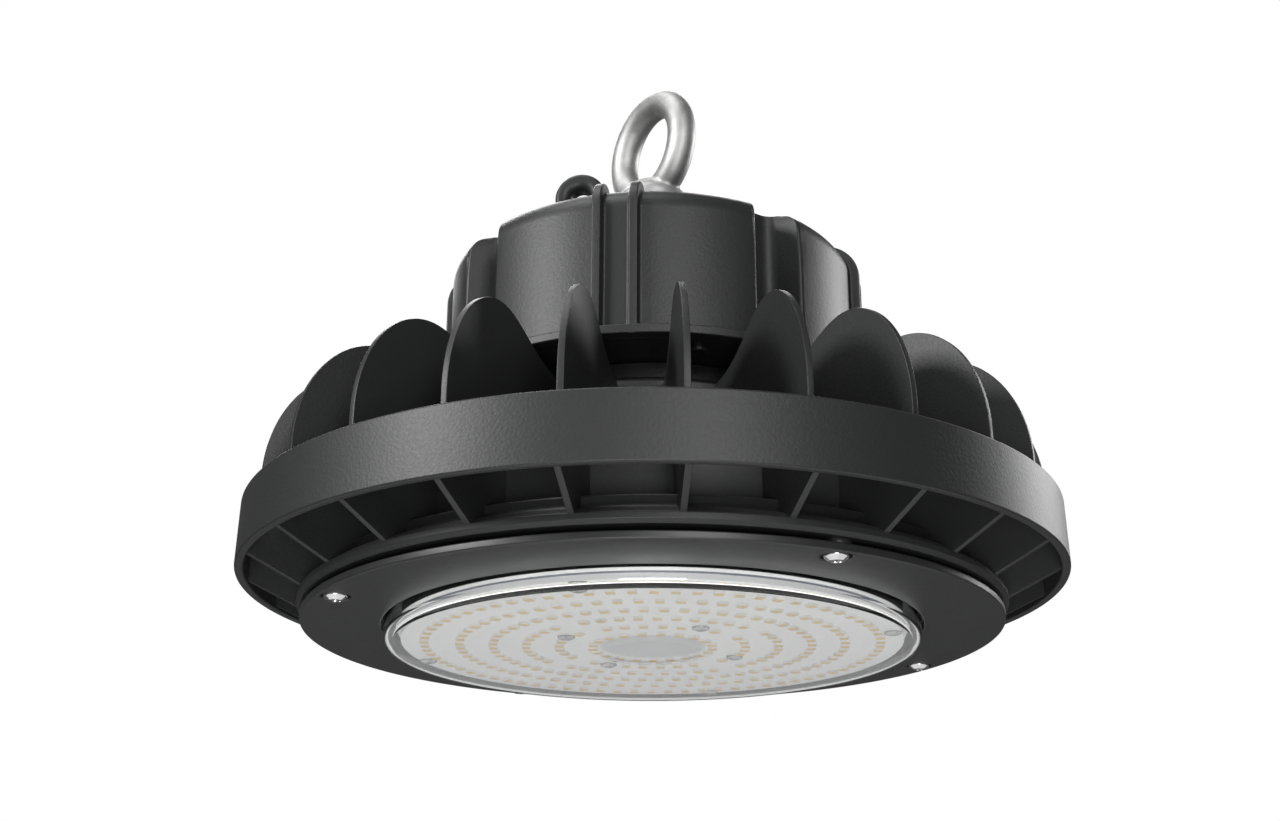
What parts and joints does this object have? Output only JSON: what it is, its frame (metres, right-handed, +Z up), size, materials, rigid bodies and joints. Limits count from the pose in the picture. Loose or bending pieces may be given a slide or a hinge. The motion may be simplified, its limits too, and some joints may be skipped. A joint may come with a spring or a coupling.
{
  "type": "high bay light",
  "caption": "Round hanging LED high bay light: finned cast heat sink with a tapered band, clear lens and bezel below, sealed driver housing with an eye bolt above.",
  "frame": {"origin": "centre of the lens's lower face, the lowest point of the light", "axes": "+Z up along the light's axis towards the eye bolt, -Y towards the front, the middle of one of the housing's panels, with the safety lug at the front left"},
  "size_m": [0.264, 0.2639, 0.2039],
  "materials": {
    "casting": "fine textured powder coat on cast aluminium",
    "bezel_coat": "smooth satin powder coat",
    "lens_clear": "clear moulded polycarbonate",
    "board_white": "white solder mask on a metal core",
    "led_phosphor": "cream phosphor window",
    "eye_steel": "bead-blasted stainless steel",
    "bright_screw": "polished stainless steel",
    "nickel_screw": "nickel-plated steel",
    "seal_rubber": "black silicone",
    "thermal_grey": "grey silicone pad",
    "gland_plastic": "black polyamide",
    "circuit_green": "green solder mask",
    "ferrite": "dark ferrite and taped winding",
    "can_black": "sleeved aluminium can",
    "copper_wound": "enamelled copper winding",
    "terminal_grey": "moulded terminal",
    "lead_sheath": "round sheathed lead"
  },
  "bodies": {
    "root": {"lens": "lens_clear", "lens_seal": "seal_rubber", "bezel": "bezel_coat", "bezel_screws": "bright_screw", "led_board": "board_white", "led_chips": "led_phosphor", "led_board_screws": "nickel_screw", "thermal_pad": "thermal_grey", "heat_sink": "casting", "pillar_screws": "nickel_screw", "driver_base": "casting", "housing_gasket": "seal_rubber", "driver_housing": "casting", "housing_screws": "nickel_screw", "eye_bolt": "eye_steel", "eye_washer": "eye_steel", "eye_nut": "eye_steel", "gland_body": "gland_plastic", "gland_seal": "seal_rubber", "gland_nut": "gland_plastic", "gland_locknut": "gland_plastic", "driver_board": "circuit_green", "driver_board_screws": "nickel_screw", "transformer": "ferrite", "capacitors": "can_black", "line_choke": "copper_wound", "terminal_block": "terminal_grey", "output_lead": "lead_sheath", "lead_bush": "seal_rubber", "lead_grommet": "seal_rubber"}
  },
  "joints": []
}
